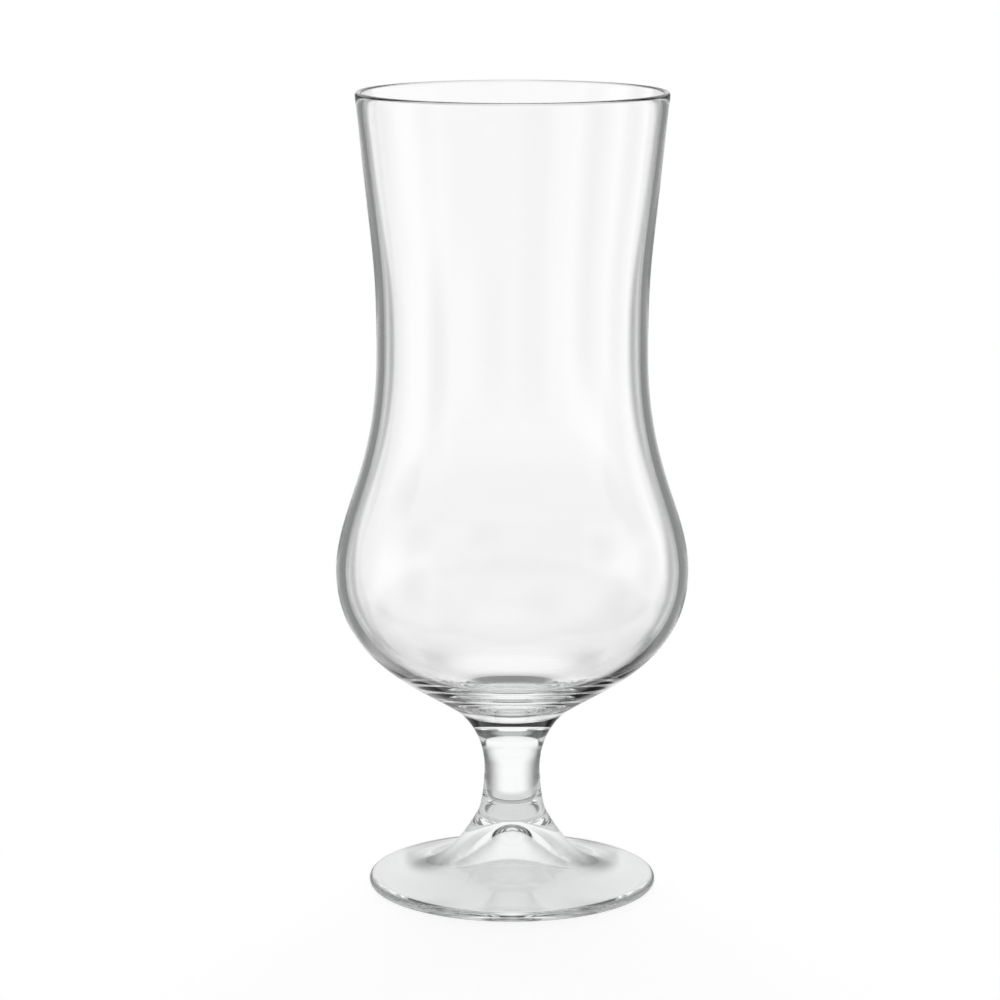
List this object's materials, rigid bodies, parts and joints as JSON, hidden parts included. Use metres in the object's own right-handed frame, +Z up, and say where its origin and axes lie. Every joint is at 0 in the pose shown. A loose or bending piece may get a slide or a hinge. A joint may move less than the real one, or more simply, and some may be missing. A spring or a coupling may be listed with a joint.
{
  "type": "tulip beer glass",
  "caption": "Clear stemmed beer glass: a tulip bowl with a round belly, a drawn-in waist and a flared mouth, on a short solid stem and a wide trumpet foot.",
  "frame": {"origin": "middle of the ring that the foot stands on, at table level", "axes": "+Z up the axis of the glass to the mouth; round about Z, so X and Y are free"},
  "size_m": [0.0837, 0.0836, 0.19],
  "materials": {
    "bowl_glass": "clear, fire-polished",
    "stem_glass": "clear, fire-polished",
    "foot_glass": "clear, fire-polished"
  },
  "bodies": {
    "root": {"bowl": "bowl_glass", "stem": "stem_glass", "foot": "foot_glass"}
  },
  "joints": []
}
